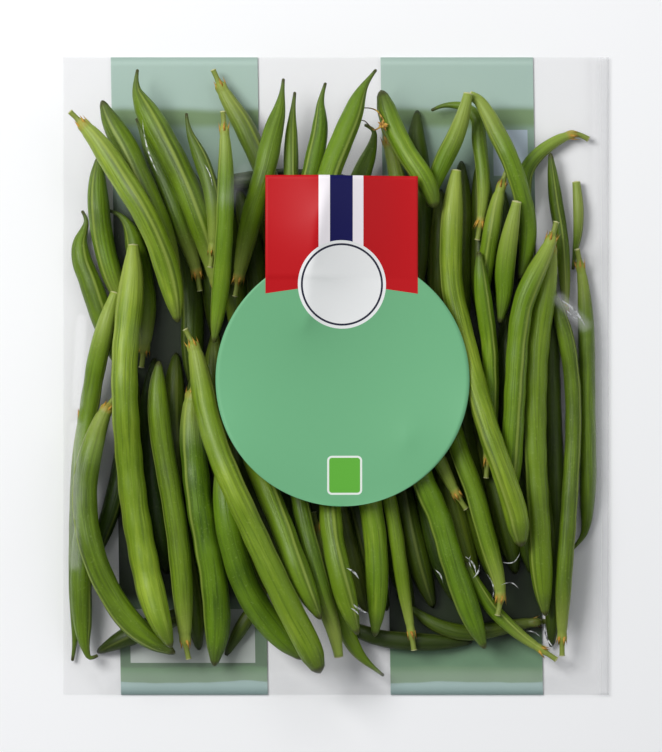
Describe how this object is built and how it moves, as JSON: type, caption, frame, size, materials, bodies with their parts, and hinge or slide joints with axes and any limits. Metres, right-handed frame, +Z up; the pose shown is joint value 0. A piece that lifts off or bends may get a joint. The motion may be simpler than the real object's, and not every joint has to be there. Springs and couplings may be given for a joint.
{
  "type": "bagged green bean bundle",
  "caption": "Slim green bean pods lying side by side and crossing in a flat clear film bag, with a blank round label and swallow-tail tag on the front.",
  "frame": {"origin": "middle of the back film's underside", "axes": "+Y towards the tag end of the bag, +Z up out of the front film, +X to the right as the label is seen"},
  "size_m": [0.1668, 0.1948, 0.0329],
  "materials": {
    "pod_skin": "satin bean skin, mid green with lighter and darker pods",
    "clear_film": "thin clear glossy film",
    "printed_film": "pale film with two printed green bands",
    "label_face": "smooth coated label, blank"
  },
  "bodies": {
    "root": {"film_back": "printed_film", "film_front": "clear_film", "label": "label_face", "low_pods": "pod_skin", "pod_01": "pod_skin", "pod_02": "pod_skin", "pod_03": "pod_skin", "pod_04": "pod_skin", "pod_05": "pod_skin", "pod_06": "pod_skin", "pod_07": "pod_skin", "pod_08": "pod_skin", "pod_09": "pod_skin", "pod_10": "pod_skin", "pod_11": "pod_skin", "pod_12": "pod_skin", "pod_13": "pod_skin", "pod_14": "pod_skin", "pod_15": "pod_skin", "pod_16": "pod_skin", "pod_17": "pod_skin", "pod_18": "pod_skin", "pod_19": "pod_skin", "pod_20": "pod_skin", "pod_21": "pod_skin", "pod_22": "pod_skin", "pod_23": "pod_skin", "pod_24": "pod_skin", "pod_25": "pod_skin", "pod_26": "pod_skin", "pod_27": "pod_skin", "pod_28": "pod_skin", "pod_29": "pod_skin", "pod_30": "pod_skin", "pod_31": "pod_skin", "pod_32": "pod_skin", "pod_33": "pod_skin", "pod_34": "pod_skin", "pod_35": "pod_skin", "pod_36": "pod_skin", "pod_37": "pod_skin", "pod_38": "pod_skin", "pod_39": "pod_skin", "pod_40": "pod_skin", "pod_41": "pod_skin", "pod_42": "pod_skin", "pod_43": "pod_skin", "pod_44": "pod_skin", "pod_45": "pod_skin", "pod_46": "pod_skin", "pod_47": "pod_skin", "pod_48": "pod_skin", "pod_49": "pod_skin", "pod_50": "pod_skin"}
  },
  "joints": []
}
